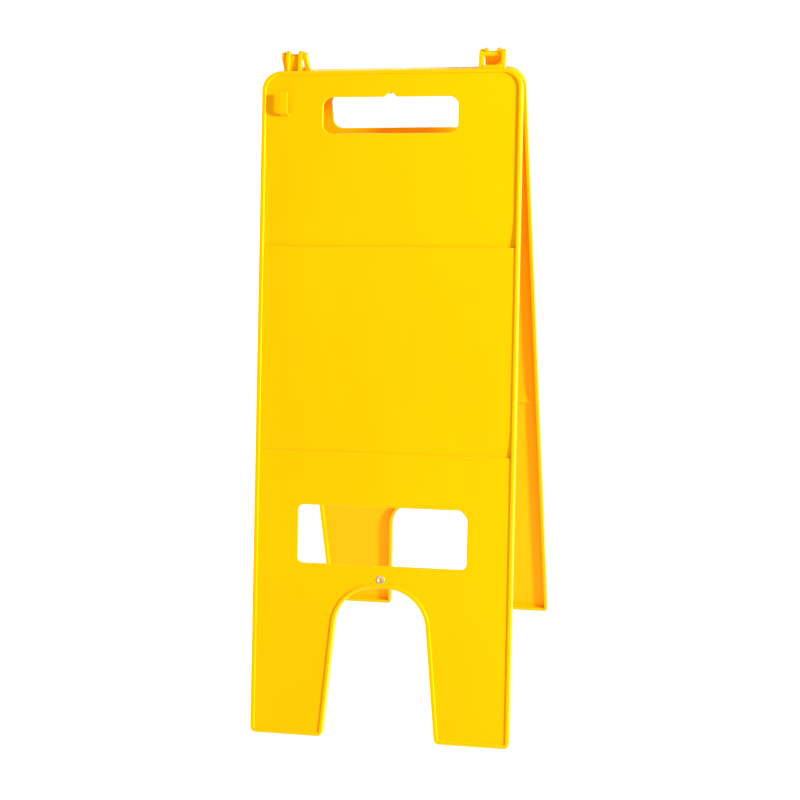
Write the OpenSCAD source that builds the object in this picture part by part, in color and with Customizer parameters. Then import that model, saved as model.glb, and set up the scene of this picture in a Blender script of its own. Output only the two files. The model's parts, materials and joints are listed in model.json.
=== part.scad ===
// Folding A-frame floor stand: two identical moulded panels that snap together at the top.
// The origin is on the floor, midway between the feet. X runs along the hinge, Z is up, and
// the front panel leans back from -Y. A panel is drawn flat in its own frame: x across it,
// y up it from the hinge axis, z out of its face from the plane where two folded panels meet.

/* [Panel] */
// Height of a panel along its own face, without the hinge lugs
panel_h = 620; // [520:1:760]
// Width across the top corners
top_w = 244; // [232:1:300]
// Width across the feet
foot_w = 246; // [232:1:310]
// Thickness from the folding plane to the top of the rim
depth = 9; // [8:0.1:14]
// Width of the rim, and of the flange behind it
rim_w = 3.6; // [2.5:0.1:4.2]
// Thickness of the face sheet
web_t = 2.4; // [1.8:0.1:3]
// Radius of the two top corners
top_r = 18; // [8:0.5:22]
// Radius of the corners of the feet
foot_r = 5; // [4.4:0.1:9]
// Angle of each panel from upright when the stand is open
lean = 14.25; // [8:0.25:20]
// Gap left between the two panels when they are folded
fold_gap = 0.6; // [0.4:0.1:2]
// Width of the level land under each foot
foot_land = 2.4; // [1:0.1:3]

/* [Face] */
// Depth of the top field below the rim
top_inset = 1.8; // [1:0.1:2.2]
// Depth of the two lower fields below the rim
low_inset = 1.2; // [0.6:0.1:1.8]
// Extra depth that each hollow reaches just above its ledge
hollow = 1.6; // [0.6:0.1:1.9]
// Height of each hollow
hollow_h = 28; // [15:1:40]
// Distance from the top edge down to the upper ledge
upper_ledge = 162; // [130:1:200]
// Distance from the top edge down to the lower ledge
lower_ledge = 353; // [300:1:370]

/* [Hand slot] */
// Width of the hand slot
slot_w = 127; // [90:1:140]
// Height of the hand slot
slot_h = 33.5; // [28:0.5:40]
// Distance from the top edge down to the slot
slot_drop = 24.5; // [20:0.5:30]
// Radius of the slot's corners
slot_r = 9; // [4:0.5:13]
// Width of the hanging notch in the slot's upper edge
notch_w = 12; // [8:0.5:20]
// Height of the hanging notch
notch_h = 5; // [3:0.5:8]
// Radius of the notch's peak
notch_peak_r = 2; // [1:0.1:2.5]
// Radius of the notch's two lower corners
notch_r = 0.4; // [0.2:0.1:0.8]

/* [Window] */
// Width of the window above the legs
window_w = 160; // [100:1:180]
// Height of the window
window_h = 54.5; // [40:0.5:60]
// Distance from the window's lower edge down to the crown of the arch
bar_h = 21; // [18:0.5:30]
// Radius of the window's corners
window_r = 5; // [2:0.5:12]

/* [Arch] */
// Height of the arch between the legs
arch_h = 141.7; // [120:0.1:160]
// Width of the arch where its sides would meet the line of its crown
arch_top_w = 80; // [76:0.5:90]
// Width of the arch at the floor
arch_foot_w = 106.6; // [92:0.1:120]
// Radius of the arch's shoulders
arch_r = 38; // [20:0.5:40]

/* [Hinge] */
// Distance from the middle of the panel to the middle of each lug
lug_x = 93; // [85:0.5:96]
// Height of the hinge axis above the top edge
axis_rise = 14.5; // [13:0.1:18]
// Diameter of the moulded hinge pin
pin_d = 5.2; // [4:0.1:6]
// Radial clearance between the pin and the hook
pin_fit = 0.06; // [0.04:0.01:0.1]
// Wall of the hook around the pin
hook_wall = 2.9; // [2:0.1:3.4]
// Width of the hook over its two ribs
hook_w = 15.8; // [13:0.1:17]
// Thickness of one rib of the hook
hook_rib = 4; // [3:0.1:5]
// Thickness of the wall between the hook's ribs
hook_back = 2.4; // [1.2:0.1:3]
// Distance from the face of the rim back to the face of the lugs
lug_inset = 1.6; // [0.8:0.1:2]
// Thickness of one ear of the fork
ear_t = 3.9; // [3:0.1:5]
// Wall of an ear around the pin
ear_wall = 1.6; // [1.2:0.1:2.4]
// Height of the sill between the ears
sill_h = 3.2; // [1:0.1:5]
// Gap between the hook and each ear
side_gap = 0.3; // [0.2:0.05:0.5]
// Gap left at the opening stop
stop_gap = 0.1; // [0.05:0.01:0.2]
// Distance that the opening stop stands off its ear
stop_t = 1.6; // [1:0.1:2.4]
// Distance from the round end of the ear in to the opening stop
stop_inset = 0.2; // [0.1:0.1:0.4]

/* [Clip] */
// Distance from the middle of the panel to the middle of the clip
clip_x = 99.8; // [90:0.1:106]
// Width of the clip's tongue
clip_w = 7.6; // [5:0.1:10]
// Distance from the top edge down to the free end of the tongue
clip_drop = 20; // [17:0.5:30]
// Straight length of the tongue
clip_h = 13.6; // [12:0.1:25]
// Thickness of the tongue
clip_t = 1.6; // [1.2:0.1:3]
// Gap between the tongue and the face
clip_gap = 6.4; // [4.4:0.1:7]

/* [Eyelet] */
// Distance from the crown of the arch up to the middle of the eyelet
eyelet_rise = 8.3; // [8:0.1:12]
// Diameter of the eyelet's bore
eyelet_bore = 3.2; // [2:0.1:4]
// Wall of the eyelet's barrel
eyelet_wall = 0.9; // [0.5:0.1:1.2]
// Diameter of the eyelet's flange
eyelet_d = 7.5; // [7:0.1:9]
// Diameter of the rolled collar behind the sheet
collar_d = 6.7; // [6.6:0.1:8]
// Thickness of the flange and of the collar
eyelet_lip = 0.8; // [0.5:0.1:1.2]

/* [Hidden] */
$fn = 64;
// Largest turn between two points of a rounded corner, in degrees
arc_step = 6;
// Steps along the curve of one hollow
hollow_steps = 8;
// Length by which joined solids run into each other
bury = 1;
// Angles around the hinge axis run from 0, up the panel, to 90, straight out of its face.
// The hook reaches around the pin from its root to its tip, and the opening stop fills a wedge
hook_root = 160;
hook_tip = -40;
stop_angle = 32;

inner = fold_gap / 2;
crown = panel_h - arch_h;
window_drop = crown - bar_h - window_h;
eyelet_drop = crown - eyelet_rise;
pin_r = pin_d / 2;
hook_r = pin_r + pin_fit + hook_wall;
ear_r = pin_r + ear_wall;
fork_gap = hook_w + 2 * side_gap;
lug_face = depth - lug_inset;
land_cut = foot_land * sin(lean) * cos(lean);
hinge_z = (axis_rise + panel_h) * cos(lean) - inner * sin(lean) - land_cut;

// Height in the panel's own frame of a line this far below the top edge
function down(drop) = -axis_rise - drop;

// Point at this radius and angle
function at(r, angle) = r * [cos(angle), sin(angle)];

// ---- Rounded outlines: corners are [x, y, radius], listed anticlockwise ----
function flat(p) = [p[0], p[1]];
function unit(a) = a / norm(a);
function left_of(a) = [-a[1], a[0]];
function side(a, b) = a[0] * b[1] - a[1] * b[0];
function next(list, i) = list[(i + 1) % len(list)];
function prev(list, i) = list[(i + len(list) - 1) % len(list)];

// Points of the arc that rounds corner b between a and c
function arc(a, b, c, r) =
    let (back = unit(a - b), on = unit(c - b), half = acos(back * on) / 2)
    let (centre = b + unit(back + on) * r / sin(half))
    let (start = b + back * r / tan(half) - centre, turn = 180 - 2 * half)
    let (way = sign(side(b - a, c - b)), steps = ceil(turn / arc_step))
    let (from = atan2(start[1], start[0]))
    [for (i = [0:steps]) centre + at(r, from + way * turn * i / steps)];

function rounded(corners) =
    [for (i = [0:len(corners) - 1], p = arc(flat(prev(corners, i)), flat(corners[i]),
                                            flat(next(corners, i)), corners[i][2])) p];

// The same corners with every side moved inwards by d
function inset(corners, d) =
    [for (i = [0:len(corners) - 1])
        let (b = flat(corners[i]), into = unit(b - flat(prev(corners, i))))
        let (out = unit(flat(next(corners, i)) - b))
        let (a_in = left_of(into), b_in = left_of(out), way = sign(side(into, out)))
        let (moved = b + (a_in + b_in) * d / (1 + a_in * b_in))
        [moved[0], moved[1], corners[i][2] - way * d]];

function box_corners(w, h, drop, r) =
    [[-w / 2, down(drop + h), r], [w / 2, down(drop + h), r],
     [w / 2, down(drop), r], [-w / 2, down(drop), r]];

outline = [[-foot_w / 2, down(panel_h), foot_r], [-arch_foot_w / 2, down(panel_h), foot_r],
           [-arch_top_w / 2, down(crown), arch_r], [arch_top_w / 2, down(crown), arch_r],
           [arch_foot_w / 2, down(panel_h), foot_r], [foot_w / 2, down(panel_h), foot_r],
           [top_w / 2, down(0), top_r], [-top_w / 2, down(0), top_r]];

// ---- Side profiles: points are [height, distance out of the face] ----
// One field of the face, from drop a to drop b, which ends in a hollow of depth dip
function field(a, b, level, dip) =
    concat([[down(a), level]],
           [for (i = [0:hollow_steps]) let (t = i / hollow_steps)
               [down(b - hollow_h * (1 - t)), level - dip * t * t]]);

// The whole face; the back of each ledge lies lower by lag, so the sheet keeps its thickness
function face(shift, lag) = concat(
    field(0, upper_ledge + lag, depth - top_inset - shift, hollow),
    field(upper_ledge + lag, lower_ledge + lag, depth - low_inset - shift, hollow),
    field(lower_ledge + lag, panel_h, depth - low_inset - shift, 0));

function reverse(list) = [for (i = [len(list) - 1:-1:0]) list[i]];

// Angle at which a line from p touches a circle of radius r around the hinge axis
function touch(p, r, way) = atan2(p[1], p[0]) + way * acos(r / norm(p));

// Points at radius r around the hinge axis, from one angle to the other
function bow(r, from, to) =
    let (steps = ceil(abs(to - from) / arc_step), turn = (to - from) / steps)
    [for (i = [0:steps]) at(r, from + turn * i)];

// Draws a side profile as a slab of this width, centred on the panel
module across(width)
    rotate([90, 0, 90]) translate([0, 0, -width / 2]) linear_extrude(width) children();

module prism(corners, low, high)
    translate([0, 0, low]) linear_extrude(high - low) polygon(rounded(corners));

// ---- Features of one panel ----
module rim() difference() {
    prism(outline, inner, depth);
    prism(inset(outline, rim_w), inner - bury, depth + bury);
}

module web() intersection() {
    across(foot_w) polygon(concat(face(0, 0), reverse(face(web_t, web_t))));
    prism(inset(outline, rim_w / 2), inner, depth);
}

module hand_slot() {
    prism(box_corners(slot_w, slot_h, slot_drop, slot_r), inner - bury, depth + bury);
    top = down(slot_drop);
    prism([[-notch_w / 2, top - bury, notch_r], [notch_w / 2, top - bury, notch_r],
           [notch_w / 2, top, notch_r], [0, top + notch_h, notch_peak_r],
           [-notch_w / 2, top, notch_r]], inner - bury, depth + bury);
}

module window()
    prism(box_corners(window_w, window_h, window_drop, window_r), inner - bury, depth + bury);

module eyelet_hole()
    translate([0, down(eyelet_drop), inner])
        cylinder(r = eyelet_bore / 2 + eyelet_wall, h = depth);

// A round end of radius ear_r on the hinge axis, with straight sides down to the top edge
module ear_profile() {
    foot = [down(0), inner];
    heel = [down(0), lug_face];
    polygon(concat([heel, heel - [bury, 0], foot - [bury, 0], foot],
                   bow(ear_r, touch(foot, ear_r, 1) - 360, touch(heel, ear_r, -1))));
}

module fork() translate([lug_x, 0, 0]) {
    for (way = [-1, 1]) {
        translate([way * (fork_gap + ear_t) / 2, 0, 0]) across(ear_t) ear_profile();
        translate([way * (fork_gap - stop_t + bury) / 2, 0, 0])
            across(stop_t + bury) opening_stop();
    }
    rotate([0, 90, 0]) cylinder(r = pin_r, h = fork_gap + ear_t, center = true);
    across(fork_gap + bury)
        translate([down(bury), inner]) square([sill_h + bury, lug_face - inner]);
}

// The tip of the other panel's hook comes to rest on this wedge when the stand opens
module opening_stop() {
    start = 2 * lean - hook_tip + asin(stop_gap / pin_r);
    polygon(concat([[0, 0]], bow(ear_r - stop_inset, start, start + stop_angle)));
}

module hook_profile() difference() {
    heel = [down(0), lug_face];
    shin = [down(0), inner + bury];
    polygon(concat([heel, heel - [bury, 0], shin - [bury, 0], shin],
                   [at(hook_r, hook_root), [0, 0]],
                   bow(hook_r, hook_tip, touch(heel, hook_r, -1))));
    circle(pin_r + pin_fit);
}

module hook() translate([-lug_x, 0, 0]) {
    for (way = [-1, 1])
        translate([way * (hook_w - hook_rib) / 2, 0, 0]) across(hook_rib) hook_profile();
    across(hook_w - hook_rib) intersection() {
        hook_profile();
        translate([down(bury), inner + bury]) square([axis_rise + bury, hook_back]);
    }
}

// A tongue held off the face by a curved foot at its lower end
module clip() translate([-clip_x, down(clip_drop), depth - top_inset]) across(clip_w) {
    reach = clip_gap + clip_t;
    translate([-clip_h, clip_gap]) square([clip_h - clip_t / 2, clip_t]);
    translate([-clip_t / 2, clip_gap + clip_t / 2]) circle(clip_t / 2);
    translate([-clip_h, 0]) intersection() {
        difference() {
            circle(reach);
            circle(clip_gap);
        }
        translate([-reach, -bury]) square([reach, reach + bury]);
    }
}

module panel() {
    difference() {
        union() {
            rim();
            web();
            clip();
        }
        hand_slot();
        window();
        eyelet_hole();
    }
    fork();
    hook();
}

// Leans a piece on its hinge; turn is 0 for the front and 180 for the rear
module stand(turn)
    rotate([0, 0, turn]) translate([0, 0, hinge_z]) rotate([90 - lean, 0, 0]) children();

module standing_panel(turn) difference() {
    stand(turn) panel();
    translate([-foot_w, -foot_w, -panel_h]) cube([2 * foot_w, 2 * foot_w, panel_h]);
}

// A flanged tube through the face sheet, rolled over behind it
module eyelet() translate([0, down(eyelet_drop), depth - low_inset]) difference() {
    union() {
        rotate_extrude() eyelet_ring(eyelet_d / 2);
        translate([0, 0, -web_t]) mirror([0, 0, 1]) rotate_extrude() eyelet_ring(collar_d / 2);
        translate([0, 0, -web_t]) cylinder(r = eyelet_bore / 2 + eyelet_wall, h = web_t);
    }
    translate([0, 0, -web_t - depth / 2]) cylinder(r = eyelet_bore / 2, h = depth);
}

module eyelet_ring(r) {
    square([r - eyelet_lip, eyelet_lip]);
    translate([r - eyelet_lip, 0]) intersection() {
        circle(eyelet_lip);
        square(eyelet_lip);
    }
}

// ---- Sub-parts ----
module front_panel() color("gold") standing_panel(0);
module rear_panel() color("gold") standing_panel(180);
module front_eyelet() color("lightgray") stand(0) eyelet();
module rear_eyelet() color("lightgray") stand(180) eyelet();

front_panel();
rear_panel();
front_eyelet();
rear_eyelet();
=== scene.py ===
import json
import math

import bmesh
import bpy
from mathutils import Matrix, Vector


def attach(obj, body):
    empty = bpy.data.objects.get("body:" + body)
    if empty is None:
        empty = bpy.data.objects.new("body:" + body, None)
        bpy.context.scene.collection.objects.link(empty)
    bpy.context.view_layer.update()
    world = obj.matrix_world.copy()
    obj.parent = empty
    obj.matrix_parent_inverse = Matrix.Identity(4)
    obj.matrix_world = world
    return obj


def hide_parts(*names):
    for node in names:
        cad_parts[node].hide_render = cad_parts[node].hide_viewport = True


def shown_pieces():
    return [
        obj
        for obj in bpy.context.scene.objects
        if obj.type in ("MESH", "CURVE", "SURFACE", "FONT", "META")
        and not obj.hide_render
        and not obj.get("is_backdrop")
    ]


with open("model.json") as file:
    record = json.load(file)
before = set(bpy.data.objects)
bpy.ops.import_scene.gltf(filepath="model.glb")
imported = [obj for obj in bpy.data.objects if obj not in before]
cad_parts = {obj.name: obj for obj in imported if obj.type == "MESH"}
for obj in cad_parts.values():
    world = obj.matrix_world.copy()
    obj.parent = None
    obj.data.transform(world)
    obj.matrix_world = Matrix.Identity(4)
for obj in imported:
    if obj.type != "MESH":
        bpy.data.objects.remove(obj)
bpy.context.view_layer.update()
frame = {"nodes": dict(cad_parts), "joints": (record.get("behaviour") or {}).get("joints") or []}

MM = 0.001

# ---- Where the panels are: the rear one is the front one turned half round ----
FOLD = frame["joints"][0]
HINGE_Z = FOLD["pos_m"][2]
LEAN = math.radians(FOLD["range_deg"][1] / 2)
FRONT_TURN = 0
REAR_TURN = math.pi

# ---- Camera: its turn left of +Y, its tip downwards and its roll are in degrees ----
CAMERA_AT = (0.3057, -1.4799, 0.7154)
LENS = 72.33
SENSOR = 36.0
YAW = 11.790
PITCH = 15.936
ROLL = -1.716

# ---- Light: the lamps light the stand alone, and not the floor ----
# Azimuth is in degrees from -Y towards +X, and elevation in degrees above the floor
KEY = {"azimuth": 66.0, "elevation": 17.0, "distance": 2.6, "size": 0.34, "watts": 117.0}
BACK = {"azimuth": 200.0, "elevation": 22.0, "distance": 2.4, "size": 1.0, "watts": 34.0}
LAMP_AIM = (0, 0, 0.32)
WHITE = (1, 1, 1, 1)
SKY_STRENGTH = 0.57
FLOOR_SIZE = 60.0
FLOOR_COLOUR = (0.40, 0.40, 0.40, 1)
FLOOR_ROUGHNESS = 0.9
FLOOR_GLOW = 0.98

# ---- Mesh work ----
WELD = 0.002 * MM            # vertices this close are one
FLAT = math.radians(0.3)     # faces within this angle lie in one plane
SHARP = math.radians(30)     # edges sharper than this may be rounded
ROUNDING = 4                 # faces across a rounded edge
FLATNESS = 100               # how far the large faces outweigh the small ones in the shading
# Heights in a panel's frame of cuts through the hinge, slot and clip, ledges, window and eyelet. With
# the cut along the middle they leave no flat face with a hole in it
CUT_HEIGHTS = [y * MM for y in (0.2, -55.3, -145, -185, -335, -375, -444.55, -484.5)]
AXIS_RISE = 14.5 * MM        # from a panel's top edge up to the hinge axis
DEPTH = 9.0 * MM             # from the folding plane to the top of the rim
PIN_R = 2.6 * MM
NEAR = 0.08 * MM             # two places this close count as one

# ---- Radii of the rounded edges ----
SOFTEST = 1.3 * MM           # the rim's outer edge
RIM_INNER = 0.6 * MM
CREASE = 0.5 * MM            # inside corners
OPENING = 0.9 * MM           # slot and window
PLAIN_EDGE = 0.7 * MM
HOOK_EDGE = 0.9 * MM
EAR_EDGE = 0.5 * MM
CLIP_EDGE = 0.4 * MM
CLIP_LOW = (-104.0 * MM, -56.5 * MM, 7.0 * MM)      # the box round the clip, in a panel's frame
CLIP_HIGH = (-95.5 * MM, -34.0 * MM, 16.0 * MM)

# ---- Plastic: colours, roughness, and the size and height of each kind of mark ----
YELLOW_LOW = (0.93, 0.412, 0.0)
YELLOW_HIGH = (0.95, 0.436, 0.0)
# lighter yellow on every rounded edge: a painted highlight, with a little wear
YELLOW_EDGE = (0.96, 0.50, 0.004)
SHEEN_TINT = (1.0, 0.75, 0.04, 1)
PLASTIC_IOR = 1.49
FACE_ROUGHNESS = (0.40, 0.50)
EDGE_ROUGHNESS = (0.26, 0.36)
CLOUD = 90 * MM              # mottling, drawn out along the flow
CLOUD_STRETCH = (1, 1, 2.5)
HAZE = 30 * MM               # patches of duller surface
HAZE_STRETCH = (1, 1, 3)
WAVE = 45 * MM
WAVE_STRETCH = (1, 1, 1.6)
WAVE_HEIGHT = 0.16 * MM
GRAIN = 2.2 * MM
GRAIN_HEIGHT = 0.015 * MM
SPREAD = (0.30, 0.70)        # the noise values that a ramp runs between
EDGE_MARK = "rounded_edge"   # the vertex attribute that is 1 on rounded edges

# ---- Metal ----
# both colours are tinted warm cream: a painted reflection of the yellow panels; the darker one is
# tarnish at random
METAL_DULL = (0.50, 0.43, 0.33)
METAL_BRIGHT = (0.78, 0.72, 0.60)
METAL_ROUGHNESS = (0.30, 0.48)
TARNISH = 1.6 * MM
TARNISH_SPREAD = (0.30, 0.58)
TARNISH_HEIGHT = 0.02 * MM
SMEAR = 0.9 * MM

# ---- Eyelets, in mm: profile points are (radius, height above the face), all round the section ----
EYELET_Y = -484.5
FACE_Z = 7.8
EYELET_PROFILE = [(2.5, 0.0), (3.45, 0.0), (3.68, 0.08), (3.75, 0.28), (3.70, 0.50), (3.55, 0.68),
                  (3.30, 0.78), (3.02, 0.76), (2.72, 0.64), (2.42, 0.45), (2.12, 0.20), (1.88, -0.08),
                  (1.70, -0.42), (1.61, -0.80), (1.6, -1.2), (1.6, -2.3), (1.66, -2.70), (1.86, -3.00),
                  (2.20, -3.16), (2.60, -3.18), (2.95, -3.08), (3.20, -2.90), (3.33, -2.64),
                  (3.30, -2.42), (2.5, -2.4)]
EYELET_STEPS = 96
PETALS = 6                   # splits in the rolled end of the barrel
SPLIT_DEPTH = 0.45
SPLIT_FROM = -2.5            # the splits start below this height
SPLIT_SHARPNESS = 16         # higher is narrower


def add_camera():
    data = bpy.data.cameras.new("camera")
    data.lens = LENS
    data.sensor_width = SENSOR
    camera = bpy.data.objects.new("camera", data)
    turn = Matrix.Rotation(math.radians(YAW), 4, "Z")
    tip = Matrix.Rotation(math.pi / 2 - math.radians(PITCH), 4, "X")
    roll = Matrix.Rotation(math.radians(ROLL), 4, "Z")
    camera.matrix_world = Matrix.Translation(CAMERA_AT) @ turn @ tip @ roll
    bpy.context.scene.collection.objects.link(camera)
    bpy.context.scene.camera = camera


def direction(azimuth, elevation):
    """Unit vector from the stand towards a light."""
    a = math.radians(azimuth)
    e = math.radians(elevation)
    return Vector((math.sin(a) * math.cos(e), -math.cos(a) * math.cos(e), math.sin(e)))


def add_lamp(name, receivers, azimuth, elevation, distance, size, watts):
    """A round lamp that faces the stand and lights only the receivers."""
    data = bpy.data.lights.new(name, "AREA")
    data.shape = "DISK"
    data.size = size
    data.energy = watts
    lamp = bpy.data.objects.new(name, data)
    towards = direction(azimuth, elevation)
    lamp.location = Vector(LAMP_AIM) + distance * towards
    lamp.rotation_mode = "QUATERNION"
    lamp.rotation_quaternion = towards.to_track_quat("Z", "Y")
    lamp.light_linking.receiver_collection = receivers
    bpy.context.scene.collection.objects.link(lamp)


def add_sky():
    world = bpy.data.worlds.new("studio")
    world.use_nodes = True
    background = world.node_tree.nodes["Background"]
    background.inputs["Color"].default_value = WHITE
    background.inputs["Strength"].default_value = SKY_STRENGTH
    bpy.context.scene.world = world
    bpy.context.scene.view_settings.view_transform = "Standard"


def add_floor():
    bpy.ops.mesh.primitive_plane_add(size=FLOOR_SIZE)
    floor = bpy.context.object
    floor.name = "floor"
    material = bpy.data.materials.new("floor")
    material.use_nodes = True
    shader = material.node_tree.nodes["Principled BSDF"]
    shader.inputs["Base Color"].default_value = FLOOR_COLOUR
    shader.inputs["Roughness"].default_value = FLOOR_ROUGHNESS
    shader.inputs["Emission Color"].default_value = WHITE
    shader.inputs["Emission Strength"].default_value = FLOOR_GLOW
    floor.data.materials.append(material)
    floor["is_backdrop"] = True


def panel_frame(turn):
    """From a panel's own frame, x across, y up from the hinge and z out of the face, to the stand."""
    return (Matrix.Rotation(turn, 4, "Z") @ Matrix.Translation((0, 0, HINGE_Z))
            @ Matrix.Rotation(math.pi / 2 - LEAN, 4, "X"))


class Nodes:
    """Short ways to add nodes to one material."""

    def __init__(self, name):
        self.material = bpy.data.materials.new(name)
        self.material.use_nodes = True
        self.tree = self.material.node_tree
        self.shader = self.tree.nodes["Principled BSDF"]
        self.place = self.tree.nodes.new("ShaderNodeTexCoord").outputs["Object"]

    def set(self, **values):
        """Sets the shader's own sockets to constants."""
        for name, value in values.items():
            self.shader.inputs[name.replace("_", " ")].default_value = value

    def link(self, source, target):
        self.tree.links.new(source, target)

    def drive(self, name, source):
        """Links source to the shader's socket of this name."""
        self.link(source, self.shader.inputs[name])

    def noise(self, size, detail, stretch=(1, 1, 1)):
        """Noise whose largest features are about this long, drawn out by stretch along each axis."""
        mapping = self.tree.nodes.new("ShaderNodeMapping")
        mapping.inputs["Scale"].default_value = [1 / k for k in stretch]
        self.link(self.place, mapping.inputs["Vector"])
        noise = self.tree.nodes.new("ShaderNodeTexNoise")
        noise.inputs["Scale"].default_value = 1 / size
        noise.inputs["Detail"].default_value = detail
        self.link(mapping.outputs["Vector"], noise.inputs["Vector"])
        return noise.outputs["Fac"]

    def ramp(self, factor, low, high, spread=SPREAD):
        """Goes from low to high, two colours or two numbers, while factor crosses the spread."""
        ramp = self.tree.nodes.new("ShaderNodeValToRGB")
        for element, position, value in zip(ramp.color_ramp.elements, spread, (low, high)):
            element.position = position
            element.color = (*value, 1) if isinstance(value, tuple) else (value, value, value, 1)
        self.link(factor, ramp.inputs["Fac"])
        return ramp.outputs["Color"]

    def mix(self, factor, low, high):
        """Goes from low to high, two colours, while factor goes from 0 to 1."""
        mix = self.tree.nodes.new("ShaderNodeMix")
        mix.data_type = "RGBA"
        self.link(factor, mix.inputs["Factor"])
        self.link(low, mix.inputs["A"])
        self.link(high, mix.inputs["B"])
        return mix.outputs["Result"]

    def bump(self, height, distance, under=None):
        """The normal of a surface this high at most, on top of the normal given as under."""
        bump = self.tree.nodes.new("ShaderNodeBump")
        bump.inputs["Distance"].default_value = distance
        self.link(height, bump.inputs["Height"])
        if under:
            self.link(under, bump.inputs["Normal"])
        return bump.outputs["Normal"]


def plastic():
    """Satin moulded polypropylene: faintly mottled, drawn out along the flow, with polished edges
    painted lighter, a painted highlight with a little wear.
    """
    n = Nodes("yellow_plastic")
    mark = n.tree.nodes.new("ShaderNodeAttribute")
    mark.attribute_name = EDGE_MARK
    edge = mark.outputs["Fac"]
    cloud = n.noise(CLOUD, 3, CLOUD_STRETCH)
    grain = n.noise(GRAIN, 2)
    body = n.ramp(cloud, YELLOW_LOW, YELLOW_HIGH)
    # the rounded edges are painted lighter: a painted highlight, with a little wear
    edge_highlight_and_wear = n.ramp(cloud, YELLOW_EDGE, YELLOW_HIGH)
    n.drive("Base Color", n.mix(edge, body, edge_highlight_and_wear))
    matt = n.ramp(n.noise(HAZE, 4, HAZE_STRETCH), *FACE_ROUGHNESS)
    polished = n.ramp(grain, *EDGE_ROUGHNESS)
    n.drive("Roughness", n.mix(edge, matt, polished))
    waves = n.bump(n.noise(WAVE, 1, WAVE_STRETCH), WAVE_HEIGHT)
    n.drive("Normal", n.bump(grain, GRAIN_HEIGHT, waves))
    n.set(Specular_Tint=SHEEN_TINT, IOR=PLASTIC_IOR)
    return n.material


def metal():
    """Pressed and rolled aluminium: bright, finely rippled, with a little tarnish, and tinted cream as a
    painted reflection of the yellow panels.
    """
    n = Nodes("eyelet_metal")
    tarnish = n.noise(TARNISH, 4)
    n.drive("Base Color", n.ramp(tarnish, METAL_DULL, METAL_BRIGHT, TARNISH_SPREAD))
    n.drive("Roughness", n.ramp(n.noise(SMEAR, 3), *METAL_ROUGHNESS))
    n.drive("Normal", n.bump(tarnish, TARNISH_HEIGHT))
    n.set(Metallic=1.0)
    return n.material


def is_on_lug(edge, ends):
    """A lug's edges reach above the panel's top edge, or are an inside corner level with it."""
    if any(p.y <= -AXIS_RISE - NEAR for p in ends):
        return False
    return max(p.y for p in ends) > NEAR - AXIS_RISE or not edge.is_convex


def is_on_clip(ends):
    return all(low < place < high for p in ends for low, place, high in zip(CLIP_LOW, p, CLIP_HIGH))


def lug_rounding(edge, ends):
    """Radius for a lug's edge. Its inside corners have none, nor the pin and bore that turn together."""
    if not edge.is_convex or all(math.hypot(p.y, p.z) < PIN_R + 2 * NEAR for p in ends):
        return 0
    return HOOK_EDGE if ends[0].x < 0 else EAR_EDGE


def rounding_of(edge):
    """Radius for this edge, in a panel's own frame."""
    ends = [v.co for v in edge.verts]
    if is_on_lug(edge, ends):
        return lug_rounding(edge, ends)
    if is_on_clip(ends):
        return CLIP_EDGE if edge.is_convex else 0
    if not edge.is_convex:
        return CREASE
    lower_end = min(p.z for p in ends)
    reach = min(v.co.z for face in edge.link_faces for v in face.verts)
    if lower_end > DEPTH - NEAR:
        return SOFTEST if reach < DEPTH / 2 else RIM_INNER
    if lower_end > DEPTH / 2 and reach > DEPTH / 2:
        return OPENING
    return PLAIN_EDGE


def make_faces_whole(bm):
    """Cuts a panel's mesh into plain regions, and merges the faces of each that lie in one plane."""
    bmesh.ops.remove_doubles(bm, verts=bm.verts, dist=WELD)
    middle = ((0, 0, 0), (1, 0, 0))
    levels = [((0, y, 0), (0, 1, 0)) for y in CUT_HEIGHTS]
    for point, normal in [middle] + levels:
        everything = bm.verts[:] + bm.edges[:] + bm.faces[:]
        cut = bmesh.ops.bisect_plane(bm, geom=everything, dist=WELD, plane_co=point, plane_no=normal)
        for item in cut["geom_cut"]:
            if isinstance(item, bmesh.types.BMEdge):
                item.seam = True
    bmesh.ops.dissolve_limit(bm, angle_limit=FLAT, verts=bm.verts, edges=bm.edges, delimit={"SEAM"})
    bm.normal_update()


def weigh_edges(bm):
    """Gives each sharp edge its radius as a share of the largest one. With no radius it stays sharp."""
    weight = bm.edges.layers.float.new("bevel_weight_edge")
    for edge in bm.edges:
        if edge.calc_face_angle() > SHARP:
            edge[weight] = rounding_of(edge) / SOFTEST
            edge.smooth = edge[weight] > 0
    for face in bm.faces:
        face.smooth = True


def panel_mesh(node, turn):
    """The node's mesh, worked on in the panel's own frame and put back in its place."""
    place = panel_frame(turn)
    bm = bmesh.new()
    bm.from_mesh(frame["nodes"][node].data)
    bm.transform(place.inverted())
    bm.normal_update()
    make_faces_whole(bm)
    weigh_edges(bm)
    bm.transform(place)
    mesh = bpy.data.meshes.new(node + "_moulded")
    bm.to_mesh(mesh)
    bm.free()
    return mesh


def mark_rounding(piece):
    """Makes the bevel part of the mesh, and marks the vertices that lie within a rounded edge."""
    mesh = bpy.data.meshes.new_from_object(piece.evaluated_get(bpy.context.evaluated_depsgraph_get()))
    piece.modifiers.clear()
    piece.data = mesh
    inside = [1.0] * len(mesh.vertices)
    for face in mesh.polygons:
        if face.material_index == 0:
            for vertex in face.vertices:
                inside[vertex] = 0.0
        face.material_index = 0
    mesh.materials.pop(index=1)
    mesh.attributes.new(EDGE_MARK, "FLOAT", "POINT").data.foreach_set("value", inside)


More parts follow.
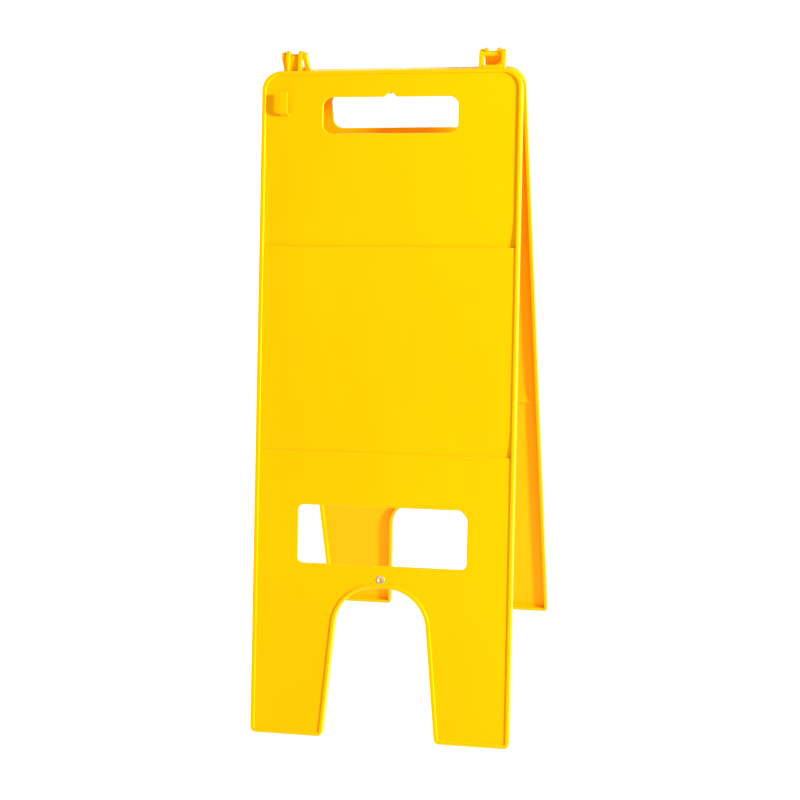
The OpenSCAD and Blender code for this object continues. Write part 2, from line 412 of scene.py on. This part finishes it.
def round_edges(piece):
    """Rounds the weighted edges, whose new faces take the second material until they are marked."""
    bevel = piece.modifiers.new("rounded_edges", "BEVEL")
    bevel.limit_method = "WEIGHT"
    bevel.width = SOFTEST
    bevel.segments = ROUNDING
    bevel.use_clamp_overlap = False
    bevel.loop_slide = False
    bevel.material = 1
    mark_rounding(piece)
    shading = piece.modifiers.new("flat_faces_stay_flat", "WEIGHTED_NORMAL")
    shading.mode = "FACE_AREA"
    shading.weight = FLATNESS
    shading.keep_sharp = True


def moulded(node, body, turn, material):
    """The panel with its flat faces made whole and its sharp edges rounded, as a mould leaves it."""
    mesh = panel_mesh(node, turn)
    mesh.materials.append(material)
    mesh.materials.append(material)
    piece = bpy.data.objects.new(node + "_moulded", mesh)
    bpy.context.scene.collection.objects.link(piece)
    round_edges(piece)
    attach(piece, body)
    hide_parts(node)


def eyelet_section(bm, angle):
    """The profile's points at one angle, drawn in where a split opens the end of the barrel."""
    split = SPLIT_DEPTH * max(0.0, math.cos(PETALS * angle)) ** SPLIT_SHARPNESS
    section = []
    for radius, height in EYELET_PROFILE:
        if height < SPLIT_FROM:
            radius -= split
        x = radius * math.cos(angle)
        y = EYELET_Y + radius * math.sin(angle)
        section.append(bm.verts.new((x, y, FACE_Z + height)))
    return section


def eyelet_mesh(node, turn):
    bm = bmesh.new()
    sections = [eyelet_section(bm, 2 * math.pi * step / EYELET_STEPS) for step in range(EYELET_STEPS)]
    for section, after in zip(sections, sections[1:] + sections[:1]):
        for i in range(len(section)):
            j = (i + 1) % len(section)
            bm.faces.new((section[i], after[i], after[j], section[j])).smooth = True
    bmesh.ops.recalc_face_normals(bm, faces=bm.faces)
    bmesh.ops.scale(bm, vec=(MM, MM, MM), verts=bm.verts)
    bm.transform(panel_frame(turn))
    mesh = bpy.data.meshes.new(node + "_rolled")
    bm.to_mesh(mesh)
    bm.free()
    return mesh


def eyelet(node, body, turn, material):
    """A pressed eyelet: rolled flange, throat, bore, and the barrel's end split and rolled behind."""
    mesh = eyelet_mesh(node, turn)
    mesh.materials.append(material)
    piece = bpy.data.objects.new(node + "_rolled", mesh)
    bpy.context.scene.collection.objects.link(piece)
    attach(piece, body)
    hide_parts(node)


add_camera()
stand = bpy.data.collections.new("stand")
add_lamp("key", stand, **KEY)
add_lamp("back", stand, **BACK)
add_sky()
add_floor()
yellow = plastic()
moulded("front_panel", "front", FRONT_TURN, yellow)
moulded("rear_panel", "rear", REAR_TURN, yellow)
bright = metal()
eyelet("front_eyelet", "front", FRONT_TURN, bright)
eyelet("rear_eyelet", "rear", REAR_TURN, bright)

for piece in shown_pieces():
    stand.objects.link(piece)
